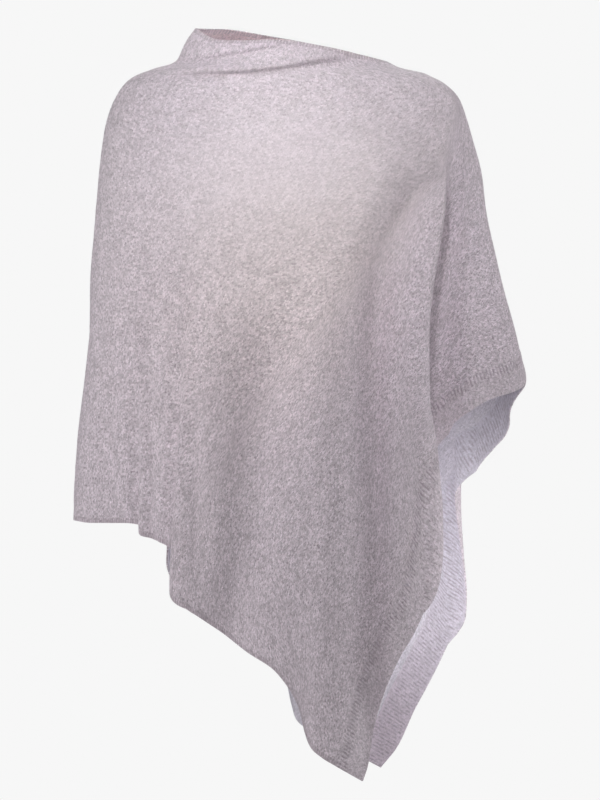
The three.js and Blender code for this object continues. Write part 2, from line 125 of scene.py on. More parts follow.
# Folds where the cloth turns under itself beyond a line, on its right (1) or left (-1) side
turnedFolds = {
    "front": [
        {"outer": 1, "setBack": 0.36, "halfWidth": 20, "overlap": 12, "heights": (-60, -210, -840, -900),
         "line": [(190, -60), (182, -122), (178, -163), (170, -207), (156, -310), (158, -391), (163, -428),
                  (168, -473), (172, -523), (173, -620)]},
        {"outer": -1, "setBack": 0.17, "halfWidth": 16, "overlap": 9, "heights": (-230, -500, -840, -900),
         "line": [(-108, -161), (-118, -310), (-127, -474), (-132, -556), (-133, -620)]},
        {"outer": -1, "setBack": 0.13, "halfWidth": 12, "overlap": 5, "heights": (-300, -510, -840, -900),
         "line": [(-169, -276), (-171, -545)]},
    ],
    "back": [
        {"outer": 1, "setBack": 0.3, "halfWidth": 20, "overlap": 11, "heights": (-110, -330, -640, -720),
         "line": [(205, -110), (200, -250), (195, -390), (195, -510), (198, -567), (203, -620)]},
        {"outer": -1, "setBack": 0.15, "halfWidth": 16, "overlap": 6, "heights": (-260, -500, -840, -900),
         "line": [(-120, -200), (-135, -420), (-142, -620)]},
    ],
}

# Soft troughs and, with a minus sign, swells: depth, half width, heights where they start and end, line
softFolds = {
    "front": [
        (17, 31, -270, -900, [(-27, -350), (-37, -423), (-44, -497), (-49, -570), (-58, -607), (-67, -644)]),
        (4, 22, -400, -900, [(32, -420), (28, -664), (22, -760)]),
        (16, 24, -60, -900, [(178, -120), (140, -165), (110, -202), (95, -245), (92, -640), (94, -760)]),
        (6, 20, -70, -380, [(176, -80), (120, -170), (93, -370)]),
        (18, 54, -110, -700, [(178, -120), (166, -310), (170, -430), (176, -600)]),
        (5, 24, -120, -330, [(-104, -130), (-100, -330)]),
        (11, 20, -200, -1000, [(95, -245), (92, -640), (94, -760)]),
        (-11, 28, -220, -900, [(42, -300), (38, -640), (42, -760)]),
        (-6, 20, -230, -520, [(134, -240), (130, -420), (128, -640)]),
        (12, 24, -50, -350, [(136, -110), (126, -200), (112, -300)]),
        (-5, 16, -260, -700, [(-138, -300), (-136, -560)]),
        (4, 10, -240, -640, [(-160, -300), (-156, -520)]),
        (4, 11, -220, -640, [(-112, -300), (-106, -600)]),
        (4, 14, -300, -560, [(-205, -300), (-212, -530)]),
        (-8, 20, -110, -480, [(206, -140), (203, -240), (202, -300), (208, -460)]),
        (3, 9, -600, -900, [(58, -600), (46, -760)]),
        (2.5, 14, -110, -420, [(-150, -120), (-158, -400)]),
        (-2.5, 16, -330, -560, [(-188, -340), (-192, -540)]),
        (3, 18, -40, -200, [(-150, -50), (-110, -110), (-60, -190)]),
    ],
    "back": [
        (6, 24, -260, -900, [(-40, -260), (-62, -700)]),
        (6, 24, -340, -900, [(40, -340), (30, -780)]),
        (5, 16, -480, -900, [(112, -480), (100, -790)]),
        (5, 20, -90, -360, [(170, -90), (110, -360)]),
        (-3, 18, -300, -900, [(0, -310), (-14, -740)]),
        (3, 16, -180, -560, [(-176, -190), (-188, -540)]),
        (3, 18, -60, -240, [(-120, -70), (-60, -230)]),
        (3, 14, -420, -760, [(150, -430), (146, -700)]),
        (-2.5, 14, -150, -420, [(130, -160), (150, -420)]),
    ],
}

# Shallow troughs of the slouched neck: depth, half height, where they fade out across, line
neckCreases = {
    "front": [
        (2.5, 5, 5, [(-129, -3), (-85, 0), (-52, 5), (-29, 9), (5, 12)]),
        (4, 6, 95, [(-129, -22), (-90, -21), (-38, -19), (7, -13), (39, -8), (95, -3)]),
    ],
    "back": [
        (4, 9, 60, [(-129, 0), (-60, 4), (60, -8)]),
    ],
}

# Rolls of the slouched neck: how far the cloth above the line swells out and hangs down over it, the height
# of the swell, and where it starts and fades out across
neckRolls = {
    "front": [
        {"swell": 4.0, "hang": 0.8, "height": 7.0, "from": (-190, -125), "to": (-45, 10),
         "line": [(-129, -1), (-105, 1), (-85, 3), (-67, 6), (-52, 8), (-39, 11), (-29, 13), (5, 16)]},
        {"swell": 6.0, "hang": 1.4, "height": 9.0, "from": (-140, -95), "to": (40, 95),
         "line": [(-129, -16), (-90, -15), (-62, -15), (-38, -13), (-14, -10), (7, -7), (39, -2), (66, 1),
                  (95, 4)]},
    ],
    "back": [
        {"swell": 5.0, "hang": 0.8, "height": 9.0, "from": (-130, -90), "to": (0, 80),
         "line": [(-129, 2), (-60, 6), (60, -4), (95, -6)]},
    ],
}

# How troughs and rolls fade out: lengths in millimetres, turns in radians, the rest in shares
fading = {
    "foldEnds": 90,
    "creaseEnd": 60,
    "fullTrough": 0.6,
    "rollRise": (-0.5, 0.5),
    "rollCrest": 0.6,
    "rollTail": 1.1,
    "rollSideways": 0.6,
    "rollSidePower": 6,
    "seamGap": 0.1,
    "seamGapFrom": 2.7,
    "seamGapEase": 0.4,
}


def smooth(value):
    t = np.clip(value, 0, 1)
    return t * t * (3 - 2 * t)


def ramp(value, start, end):
    # 0 at start, 1 at end and smooth between, whichever of the two is higher
    return smooth((value - start) / (end - start))


def tableCurve(along, values):
    # a smooth curve through the values that never overshoots them
    order = np.argsort(along)
    p, v = np.asarray(along, float)[order], np.asarray(values, float)[order]
    slope = np.diff(v) / np.diff(p)
    tangent = np.zeros(len(p))
    tangent[0], tangent[-1] = slope[0], slope[-1]
    multiplied, added = slope[:-1] * slope[1:], slope[:-1] + slope[1:]
    same = multiplied > 0
    tangent[1:-1][same] = 2 * multiplied[same] / added[same]

    def read(at):
        at = np.clip(at, p[0], p[-1])
        i = np.clip(np.searchsorted(p, at) - 1, 0, len(p) - 2)
        h = p[i + 1] - p[i]
        t = (at - p[i]) / h
        return ((2 * t**3 - 3 * t**2 + 1) * v[i] + (t**3 - 2 * t**2 + t) * h * tangent[i]
                + (3 * t**2 - 2 * t**3) * v[i + 1] + (t**3 - t**2) * h * tangent[i + 1])
    return read


sectionColumns = np.array(sections, float).T
leftAt = tableCurve(sectionColumns[0], sectionColumns[1])
rightAt = tableCurve(sectionColumns[0], sectionColumns[2])
depthAt = {
    "front": tableCurve(sectionColumns[0], sectionColumns[3]),
    "back": tableCurve(sectionColumns[0], sectionColumns[4]),
}


def lineOverHeight(line):
    return tableCurve([z for x, z in line], [x for x, z in line])


def lineOverWidth(line):
    return tableCurve([x for x, z in line], [z for x, z in line])


turnedLines = {half: [lineOverHeight(f["line"]) for f in turnedFolds[half]] for half in turnedFolds}
softLines = {half: [lineOverHeight(f[4]) for f in softFolds[half]] for half in softFolds}
creaseLines = {half: [lineOverWidth(c[3]) for c in neckCreases[half]] for half in neckCreases}
rollLines = {half: [lineOverWidth(r["line"]) for r in neckRolls[half]] for half in neckRolls}


def middleAndReach(z):
    return (leftAt(z) + rightAt(z)) / 2, (rightAt(z) - leftAt(z)) / 2


def clothPoint(half, turn, z):
    # the middle of the cloth: turn is 0 at the folded arm and pi at the seam, z is the height
    middle, reach = middleAndReach(z)
    plainX = middle - reach * np.cos(turn)
    fullness = np.clip(np.sin(np.clip(turn, 0, math.pi)), 0, 1)
    x = plainX.copy()
    depth = depthAt[half](z) * fullness ** cloth["roundness"]
    for fold, lineX in zip(turnedFolds[half], turnedLines[half]):
        startZ, fullZ, easeZ, endZ = fold["heights"]
        strength = ramp(z, startZ, fullZ) * ramp(z, endZ, easeZ)
        across = (plainX - lineX(z)) / fold["halfWidth"]
        depth = depth * (1 - fold["setBack"] * strength * smooth((1 + across * fold["outer"]) / 2))
        x = x - np.where(np.abs(across) < 1, fold["overlap"] * strength * np.sin(math.pi * across), 0)
    sunk = np.zeros_like(z)
    for (deep, halfWidth, startZ, endZ, _), lineX in zip(softFolds[half], softLines[half]):
        fade = ramp(z, startZ, startZ - fading["foldEnds"]) * ramp(z, endZ, endZ + fading["foldEnds"])
        across = (plainX - lineX(z)) / halfWidth
        sunk = sunk + deep * fade * np.exp(-across * across)
    for (deep, halfHeight, endX, _), lineZ in zip(neckCreases[half], creaseLines[half]):
        above = (z - lineZ(plainX)) / halfHeight
        sunk = sunk + deep * ramp(plainX, endX, endX - fading["creaseEnd"]) * np.exp(-above * above)
    depth = depth - sunk * ramp(fullness, 0, fading["fullTrough"])
    lowered = z.copy()
    sideways = np.cos(np.clip(turn, 0, math.pi))
    inMiddle = np.sqrt(np.clip(1 - sideways ** fading["rollSidePower"], 0, 1))
    for roll, lineZ in zip(neckRolls[half], rollLines[half]):
        (fromA, fromB), (toA, toB) = roll["from"], roll["to"]
        amount = ramp(plainX, fromA, fromB) * ramp(plainX, toB, toA)
        above = (z - lineZ(plainX)) / roll["height"]
        tail = np.maximum(above - fading["rollCrest"], 0) / fading["rollTail"]
        profile = ramp(above, *fading["rollRise"]) * np.exp(-tail ** 2)
        swell = roll["swell"] * amount * profile
        depth = depth + swell * inMiddle
        x = x - swell * np.maximum(sideways, 0) * fading["rollSideways"]
        over = np.where(np.abs(above) < 1, np.sin(math.pi * above), 0)
        lowered = lowered - roll["hang"] * amount * over
    depth = depth + fading["seamGap"] * smooth((turn - fading["seamGapFrom"]) / fading["seamGapEase"])
    outward = -1 if half == "front" else 1
    return np.stack([x, outward * depth, lowered], axis=-1)


def turnOf(x, z):
    middle, reach = middleAndReach(z)
    return np.arccos(np.clip((middle - x) / reach, -1, 1))


def alongLine(points):
    steps = np.linalg.norm(np.diff(points, axis=0), axis=1)
    return np.concatenate([[0], np.cumsum(steps)])


def outlineSamples(rows, count):
    # evenly placed samples along an edge given by its points, every column of the table
    rows = np.array(rows, float)
    at = alongLine(rows[:, :2])
    wanted = np.linspace(0, at[-1], count)
    return np.stack([tableCurve(at, rows[:, k])(wanted) for k in range(rows.shape[1])], axis=1)


def bandLine(half, distance):
    # the line a given distance in from a short end, from the tip up to the seam: turn and height
    edge = outlineSamples(ribEdge[half], samples["shortEnd"])
    share = np.linspace(0, 1, samples["shortEnd"])
    lean = np.radians(edge[:, 2])
    x = edge[:, 0] + distance * np.cos(lean)
    z = edge[:, 1] + distance * np.sin(lean)
    x = x + (rightAt(z) - x) * ramp(share, cloth["seamJoinFrom"], 1)
    turn = turnOf(x, z)
    turn[-1] = math.pi
    return turn, z


def evenly(half, turn, z, shares):
    # the same line read at shares of its real length
    at = alongLine(clothPoint(half, turn, z))
    wanted = np.asarray(shares) * at[-1]
    return np.interp(wanted, at, turn), np.interp(wanted, at, z)


def halfGrid(half):
    # turn and height of each column, from the folded arm to the ribbed end, and of each row from top to hem
    jointTurn, jointZ = bandLine(half, ribs["width"])
    neck = outlineSamples(neckEdge[half], samples["neck"])
    seamZ = np.linspace(neckEdge[half][-1][1], jointZ[-1], samples["seam"])[1:]
    topTurn = np.concatenate([turnOf(neck[:, 0], neck[:, 1]), np.full(len(seamZ), math.pi)])
    topZ = np.concatenate([neck[:, 1], seamZ])
    middle, reach = middleAndReach(jointZ[0])
    jointX = middle - reach * math.cos(jointTurn[0])
    hem = outlineSamples(hemEdge[half] + [(float(jointX), float(jointZ[0]))], samples["hem"])
    hemTurn, hemZ = turnOf(hem[:, 0], hem[:, 1]), hem[:, 1]
    hemTurn[0] = 0
    shares = np.linspace(0, 1, cloth["columnsInHalf"] + 1)
    topTurn, topZ = evenly(half, topTurn, topZ, shares)
    hemTurn, hemZ = evenly(half, hemTurn, hemZ, shares)
    topTurn[0] = hemTurn[0] = 0
    near = np.linspace(0, cloth["nearNeck"], cloth["rowsNearNeck"], endpoint=False)
    below = np.linspace(cloth["nearNeck"], 1, cloth["rowsBelow"] + 1)
    rowShares = np.concatenate([near, below])
    down = np.linspace(0, 1, samples["fall"])
    order = np.argsort(jointZ)
    turns, heights = [], []
    for share, turnA, zA, turnB, zB in zip(shares, topTurn, topZ, hemTurn, hemZ):
        power = cloth["fallPower"] + (1 - cloth["fallPower"]) * ramp(share, cloth["straightFallFrom"], 1)
        ease = 1 - (1 - down) ** power
        z = zA + (zB - zA) * down
        turn = turnA + (turnB - turnA) * ease
        jointDown = jointZ[-1] + (jointZ[0] - jointZ[-1]) * down
        jointPath = np.interp(jointDown, jointZ[order], jointTurn[order])
        straight = jointTurn[-1] + (jointTurn[0] - jointTurn[-1]) * down
        pull = ramp(share, cloth["jointPullFrom"], 1) ** cloth["jointPullPower"]
        turn = turn + (jointPath - straight) * pull
        turn = np.clip(turn, 0, math.pi)
        turn, z = evenly(half, turn, z, rowShares)
        turns.append(turn)
        heights.append(z)
    return np.array(turns), np.array(heights), rowShares, shares


def gridNormals(points):
    along = np.gradient(points, axis=0)
    down = np.gradient(points, axis=1)
    normal = np.cross(down, along)
    return normal / np.maximum(np.linalg.norm(normal, axis=2, keepdims=True), 1e-9)


# Each pattern: how tight it is across and down the cloth, where it is read from, and its share
rumple = {
    "amount": 1.5,
    "plainAtTop": 0.06,
    "plainAtEnds": 0.05,
    "patterns": [
        ((0.016, 0.007), (0, 0, 7), 1.1),
        ((0.045, 0.018), (3, 0, 0), 0.55),
        ((0.12, 0.09), (0, 9, 0), 0.18),
    ],
}


def rumpled(points, normals, fadeIn):
    # small uneven swells that run down the cloth, in millimetres
    flat = points.reshape(-1, 3)
    shift = np.zeros(len(flat))
    for i, (x, y, z) in enumerate(flat):
        for (across, down), (fromX, fromY, fromZ), share in rumple["patterns"]:
            place = Vector((x * across + fromX, y * across + fromY, z * down + fromZ))
            shift[i] += noise.noise(place) * share
    return points + normals * (shift.reshape(points.shape[:2]) * rumple["amount"] * fadeIn)[..., None]


def shellFaces(index):
    # quads of the outer side, of the inner side, and of the rim that joins them
    far = index.size
    a, b, c, d = index[:-1, :-1], index[:-1, 1:], index[1:, 1:], index[1:, :-1]
    outer = np.stack([a, b, c, d], axis=-1).reshape(-1, 4)
    inner = np.stack([a, d, c, b], axis=-1).reshape(-1, 4) + far
    rim = []
    for line, flip in ((index[0], True), (index[-1], False), (index[:, 0], False), (index[:, -1], True)):
        p, q = line[:-1], line[1:]
        quads = np.stack([p, q, q + far, p + far], axis=-1)
        rim.append(quads[:, ::-1] if flip else quads)
    return outer, inner, np.concatenate(rim)


def closedCloth(name, points, normals, raised, spots, materials):
    # a closed shell of the cloth's thickness round a grid of middle points, whose places on the flat cloth are
    # in spots
    half = cloth["thickness"] / 2
    far = points.shape[0] * points.shape[1]
    index = np.arange(far).reshape(points.shape[:2])
    outer = points + normals * (half + raised)[..., None]
    inner = points - normals * (half + raised * ribs["innerShare"])[..., None]
    vertices = np.concatenate([outer.reshape(-1, 3), inner.reshape(-1, 3)]) * mm
    outerFaces, innerFaces, rimFaces = shellFaces(index)
    faces = np.concatenate([outerFaces, innerFaces, rimFaces])
    mesh = bpy.data.meshes.new(name)
    mesh.from_pydata(vertices.tolist(), [], faces.tolist())
    uvLayer = mesh.uv_layers.new(name="clothSpot")
    loopVertices = np.zeros(len(mesh.loops), np.int32)
    mesh.loops.foreach_get("vertex_index", loopVertices)
    bothSides = np.concatenate([spots.reshape(-1, 2), spots.reshape(-1, 2)])
    uvLayer.data.foreach_set("uv", bothSides[loopVertices].astype(np.float32).ravel())
    for material in materials:
        mesh.materials.append(material)
    slots = np.zeros(len(faces), np.int32)
    slots[len(outerFaces):len(outerFaces) + len(innerFaces)] = 1
    mesh.polygons.foreach_set("material_index", slots)
    mesh.polygons.foreach_set("use_smooth", np.ones(len(faces), bool))
    # the edges between a side and the rim are sharp
    border = np.zeros(2 * far, bool)
    border[np.concatenate([index[0], index[-1], index[:, 0], index[:, -1]])] = True
    border[far:] = border[:far]
    ends = np.zeros(len(mesh.edges) * 2, np.int32)
    mesh.edges.foreach_get("vertices", ends)
    ends = ends.reshape(-1, 2)
    sharp = mesh.attributes.new("sharp_edge", "BOOLEAN", "EDGE")
    sharp.data.foreach_set("value", border[ends].all(axis=1) & ((ends[:, 0] < far) == (ends[:, 1] < far)))
    mesh.update()
    piece = bpy.data.objects.new(name, mesh)
    bpy.context.scene.collection.objects.link(piece)
    return piece


def nodeIn(tree, kind, label="", **values):
    node = tree.nodes.new(kind)
    node.label = label
    for name, value in values.items():
        setattr(node, name, value)
    return node


def mathNode(tree, operation, first, second=None):
    node = nodeIn(tree, "ShaderNodeMath", operation=operation)
    for socket, value in zip(node.inputs, (first, second)):
        if value is None:
            continue
        if isinstance(value, (int, float)):
            socket.default_value = value
        else:
            tree.links.new(value, socket)
    return node.outputs[0]


def product(tree, first, *others):
    for value in others:
        first = mathNode(tree, "MULTIPLY", first, value)
    return first


def lessSquare(tree, value):
    # 1 less the value's square: 1 in the middle of a range from -1 to 1, and 0 at its ends
    return mathNode(tree, "SUBTRACT", 1, product(tree, value, value))


def rangeNode(tree, value, low, high, toLow=0, toHigh=1, **settings):
    node = nodeIn(tree, "ShaderNodeMapRange", **settings)
    tree.links.new(value, node.inputs["Value"])
    for name, limit in (("From Min", low), ("From Max", high), ("To Min", toLow), ("To Max", toHigh)):
        node.inputs[name].default_value = limit
    return node.outputs[0]


def noiseNode(tree, label, vector, scale, detail=1, roughness=0.5, stretch=None):
    if stretch:
        mapping = nodeIn(tree, "ShaderNodeMapping", label)
        mapping.inputs["Scale"].default_value = stretch
        tree.links.new(vector, mapping.inputs["Vector"])
        vector = mapping.outputs[0]
    texture = nodeIn(tree, "ShaderNodeTexNoise", label)
    for name, value in (("Scale", scale), ("Detail", detail), ("Roughness", roughness)):
        texture.inputs[name].default_value = value
    tree.links.new(vector, texture.inputs["Vector"])
    return texture.outputs[0]


def splitSpot(tree, spot):
    # the place on the flat cloth: u along its length, v from the neck's edge to the hem
    apart = nodeIn(tree, "ShaderNodeSeparateXYZ")
    tree.links.new(spot, apart.inputs[0])
    return apart.outputs[0], apart.outputs[1]


def waveNode(tree, along, width):
    turns = mathNode(tree, "DIVIDE", along, width)
    return mathNode(tree, "COSINE", product(tree, turns, 2 * math.pi))


def mixColour(tree, factor, first, second, blend="MIX"):
    node = nodeIn(tree, "ShaderNodeMix", data_type="RGBA", blend_type=blend)
    for socket, value in ((node.inputs[0], factor), (node.inputs[6], first), (node.inputs[7], second)):
        if isinstance(value, (int, float, tuple)):
            socket.default_value = value
        else:
            tree.links.new(value, socket)
    return node.outputs[2]


def newGroup(name, inputs, outputs):
    group = bpy.data.node_groups.new(name, "ShaderNodeTree")
    for socketName, kind, value in inputs:
        socket = group.interface.new_socket(name=socketName, in_out="INPUT", socket_type=kind)
        if value is not None:
            socket.default_value = value
    for socketName, kind in outputs:
        group.interface.new_socket(name=socketName, in_out="OUTPUT", socket_type=kind)
    return group, group.nodes.new("NodeGroupInput"), group.nodes.new("NodeGroupOutput")


def makeStitchGroup():
    # V stitches on the flat cloth: columns of stitches run along u, courses of yarn run along v
    group, given, made = newGroup(
        "knitStitches",
        [("Spot", "NodeSocketVector", None), ("Wale Width", "NodeSocketFloat", 0.0026),
         ("Course Height", "NodeSocketFloat", 0.0019), ("Slant", "NodeSocketFloat", 1.1),
         ("Wobble", "NodeSocketFloat", 0.0016)],
        [("Height", "NodeSocketFloat"), ("Tint", "NodeSocketFloat")],
    )
    spot = given.outputs["Spot"]
    wobble = noiseNode(group, "wobble", spot, 210)
    shift = product(group, mathNode(group, "SUBTRACT", wobble, 0.5), given.outputs["Wobble"])
    u, v = [mathNode(group, "ADD", part, shift) for part in splitSpot(group, spot)]
    wale = mathNode(group, "DIVIDE", v, given.outputs["Wale Width"])
    course = mathNode(group, "DIVIDE", u, given.outputs["Course Height"])
    withinWale = mathNode(group, "FRACT", wale)
    fromMiddle = mathNode(group, "ABSOLUTE", mathNode(group, "SUBTRACT", withinWale, 0.5))
    slanted = mathNode(group, "ADD", course, product(group, fromMiddle, given.outputs["Slant"]))
    alongLeg = mathNode(group, "SUBTRACT", product(group, mathNode(group, "FRACT", slanted), 2), 1)
    acrossLeg = mathNode(group, "SUBTRACT", product(group, fromMiddle, 4), 1)
    roundness = product(group, lessSquare(group, alongLeg), lessSquare(group, acrossLeg))
    cell = nodeIn(group, "ShaderNodeCombineXYZ")
    group.links.new(mathNode(group, "FLOOR", wale), cell.inputs[0])
    group.links.new(mathNode(group, "FLOOR", slanted), cell.inputs[1])
    dice = nodeIn(group, "ShaderNodeTexWhiteNoise", noise_dimensions="3D")
    group.links.new(cell.outputs[0], dice.inputs["Vector"])
    group.links.new(mathNode(group, "POWER", roundness, 0.5), made.inputs["Height"])
    group.links.new(dice.outputs["Value"], made.inputs["Tint"])
    return group


def makeHeatherGroup():
    # yarn of mixed light and dark fibres: streaks along the courses, flecks, and broad uneven patches
    group, given, made = newGroup(
        "heatherYarn",
        [("Spot", "NodeSocketVector", None), ("Tint", "NodeSocketFloat", 0.5),
         ("Light", "NodeSocketColor", (0.7, 0.66, 0.7, 1)),
         ("Middle", "NodeSocketColor", (0.5, 0.45, 0.48, 1)),
         ("Dark", "NodeSocketColor", (0.3, 0.25, 0.28, 1)), ("Calm", "NodeSocketFloat", 0.0),
         ("Light Share", "NodeSocketFloat", 0.8), ("Dark Share", "NodeSocketFloat", 0.85),
         ("Uneven Stitches", "NodeSocketFloat", 0.5)],
        [("Colour", "NodeSocketColor"), ("Fuzz", "NodeSocketFloat")],
    )
    spot = given.outputs["Spot"]
    yarn = noiseNode(group, "fibres along the yarn", spot, 900, 1, 0.6, (1, 0.5, 1))
    flecks = noiseNode(group, "flecks", spot, 640, 1, 0.6, (1, 0.55, 1))
    patches = noiseNode(group, "broad patches", spot, 85, 4, 0.6, (1, 0.6, 1))
    lively = mathNode(group, "SUBTRACT", 1, given.outputs["Calm"])
    light = product(group, rangeNode(group, yarn, 0.42, 0.68), given.outputs["Light Share"], lively)
    dark = product(group, rangeNode(group, flecks, 0.54, 0.68), given.outputs["Dark Share"], lively)
    colour = mixColour(group, light, given.outputs["Middle"], given.outputs["Light"])
    colour = mixColour(group, dark, colour, given.outputs["Dark"])
    patchShade = rangeNode(group, patches, 0.3, 0.7, -0.12, 0.12)
    fromMean = mathNode(group, "SUBTRACT", given.outputs["Tint"], 0.5)
    tintShade = product(group, fromMean, given.outputs["Uneven Stitches"])
    shade = product(group, *[mathNode(group, "ADD", product(group, part, lively), 1)
                             for part in (patchShade, tintShade)])
    grey = nodeIn(group, "ShaderNodeCombineColor")
    for socket in grey.inputs[:3]:
        group.links.new(shade, socket)
    group.links.new(mixColour(group, 1.0, colour, grey.outputs[0], "MULTIPLY"), made.inputs["Colour"])
    group.links.new(yarn, made.inputs["Fuzz"])
    return group


def makeToneGroup():
    # a broad soft spot round a place on the flat cloth
    group, given, made = newGroup(
        "broadTone",
        [("Spot", "NodeSocketVector", None), ("Place", "NodeSocketVector", None),
         ("Reach", "NodeSocketFloat", 0.15)],
        [("Mask", "NodeSocketFloat")],
    )
    away = nodeIn(group, "ShaderNodeVectorMath", operation="DISTANCE")
    group.links.new(given.outputs["Spot"], away.inputs[0])
    group.links.new(given.outputs["Place"], away.inputs[1])
    share = mathNode(group, "DIVIDE", away.outputs["Value"], given.outputs["Reach"])
    fall = product(group, share, share, -1)
    group.links.new(mathNode(group, "EXPONENT", fall), made.inputs["Mask"])
    return group


def makeEdgeGroup():
    # the bound edge at the neck and hem: a low row of short stitches that run out to the edge
    group, given, made = newGroup(
        "boundEdge",
        [("Spot", "NodeSocketVector", None), ("Cloth Width", "NodeSocketFloat", 0.6),
         ("Edge Height", "NodeSocketFloat", 0.0055), ("Stitch Width", "NodeSocketFloat", 0.0036)],
        [("Shade", "NodeSocketFloat")],
    )
    u, v = splitSpot(group, given.outputs["Spot"])
    fromHem = mathNode(group, "SUBTRACT", given.outputs["Cloth Width"], v)
    near = mathNode(group, "DIVIDE", mathNode(group, "MINIMUM", v, fromHem), given.outputs["Edge Height"])
    row = rangeNode(group, near, 0.8, 1.15, 1, 0, interpolation_type="SMOOTHSTEP")
    wave = waveNode(group, u, given.outputs["Stitch Width"])
    between = mathNode(group, "ADD", product(group, wave, 0.4), 0.5)
    group.links.new(product(group, between, row), made.inputs["Shade"])
    return group


def makeStrokeGroup():
    # the grooves between ribs, within a row beside the short end, broken up unevenly along their length: a
    # mask for their bump and for their painted shade
    group, given, made = newGroup(
        "ribStrokes",
        [("Spot", "NodeSocketVector", None), ("Rib Width", "NodeSocketFloat", 0.0043),
         ("Half Length", "NodeSocketFloat", 0.68), ("From", "NodeSocketFloat", 0.02),
         ("To", "NodeSocketFloat", 0.03), ("Row Ease", "NodeSocketFloat", 0.002)],
        [("Shade", "NodeSocketFloat")],
    )
    u, v = splitSpot(group, given.outputs["Spot"])
    fromEdge = mathNode(group, "SUBTRACT", given.outputs["Half Length"], mathNode(group, "ABSOLUTE", u))
    rise = mathNode(group, "SUBTRACT", fromEdge, given.outputs["From"])
    drop = mathNode(group, "SUBTRACT", given.outputs["To"], fromEdge)
    row = mathNode(group, "MINIMUM", *[mathNode(group, "DIVIDE", part, given.outputs["Row Ease"])
                                       for part in (rise, drop)])
    row.node.use_clamp = True
    wave = waveNode(group, v, given.outputs["Rib Width"])
    groove = mathNode(group, "POWER", mathNode(group, "ADD", product(group, wave, 0.5), 0.5), 1.6)
    breaks = noiseNode(group, "breaks", given.outputs["Spot"], 330, stretch=(0.55, 1, 1))
    shade = product(group, groove, row, rangeNode(group, breaks, 0.36, 0.6))
    group.links.new(shade, made.inputs["Shade"])
    return group


stitchGroup = makeStitchGroup()
heatherGroup = makeHeatherGroup()
toneGroup = makeToneGroup()
edgeGroup = makeEdgeGroup()
strokeGroup = makeStrokeGroup()

# strokeRow is how far from the short end the grooves between ribs start and stop, in metres
finishes = {
    "jersey": {
        "light": (0.825, 0.765, 0.83, 1), "middle": (0.616, 0.535, 0.588, 1), "dark": (0.335, 0.27, 0.312, 1),
        "calm": 0.0, "wale": 0.0027, "bump": 0.55, "gap": 0.26, "roughness": 0.92, "boundEdge": 0.62,
    },
    # painted light: the inside is lighter and bluer than the outside, for light that shines through the thin
    # knit
    "jerseyInsidePaintedLight": {
        "light": (0.88, 0.85, 0.93, 1), "middle": (0.72, 0.675, 0.745, 1), "dark": (0.45, 0.42, 0.50, 1),
        "calm": 0.35, "wale": 0.0027, "bump": 0.6, "gap": 0.3, "roughness": 0.94, "boundEdge": 0.35,
    },
    "rib": {
        "light": (0.815, 0.755, 0.81, 1), "middle": (0.606, 0.53, 0.584, 1), "dark": (0.33, 0.27, 0.31, 1),
        "calm": 0.2, "wale": 0.0022, "bump": 0.5, "gap": 0.26, "roughness": 0.92, "boundEdge": 0.4,
        "ribStrokePaintedShade": 0.8, "strokeRow": (0.0215, 0.0345),
    },
    # painted light: the inner ribs are lighter and bluer than the outer, for light that shines through the
    # thin knit
    "ribInsidePaintedLight": {
        "light": (0.87, 0.85, 0.95, 1), "middle": (0.70, 0.665, 0.75, 1), "dark": (0.40, 0.34, 0.40, 1),
        "calm": 0.5, "wale": 0.0022, "bump": 0.7, "gap": 0.3, "roughness": 0.94, "boundEdge": 0.4,
        "ribStrokePaintedShade": 0.85, "strokeRow": (0.002, 0.0345),
    },
}

# Broad spots of colour, each with its place on the flat cloth, reach, the colour it is multiplied by, and how
# far it calms the heather. The paler, calmer chest is a painted highlight, the pink low end of the inner ribs
# and the bright warm inside of the neck are painted light, and the warm middle is an uneven colour of the yarn
tonesAndPaintedLight = {
    "outer": [
        # painted highlight: the chest is paler, more neutral and calmer where the light on it is brightest
        {"name": "painted chest highlight", "place": (0.175, 0.16), "reach": 0.16,
         "colour": (1.02, 1.05, 1.02, 1), "calm": 0.62},
        {"name": "warm middle", "place": (0.24, 0.31), "reach": 0.15,
         "colour": (1.01, 1.0, 0.94, 1), "calm": 0},
    ],
    "innerRib": [
        # painted light: a pink tint of the light at the low end of the inner ribs
        {"name": "painted pink light at the low end of the inner ribs", "place": (-0.67, 0.59), "reach": 0.17,
         "colour": (1.04, 0.95, 0.965, 1), "calm": 0},
    ],
    "inner": [
        # painted light: the inside of the neck is made much lighter and warmer where little light reaches it
        {"name": "painted light in the inside of the neck", "place": (-0.09, 0.0), "reach": 0.16,
         "colour": (1.36, 1.16, 1.08, 1), "calm": 0},
    ],
}


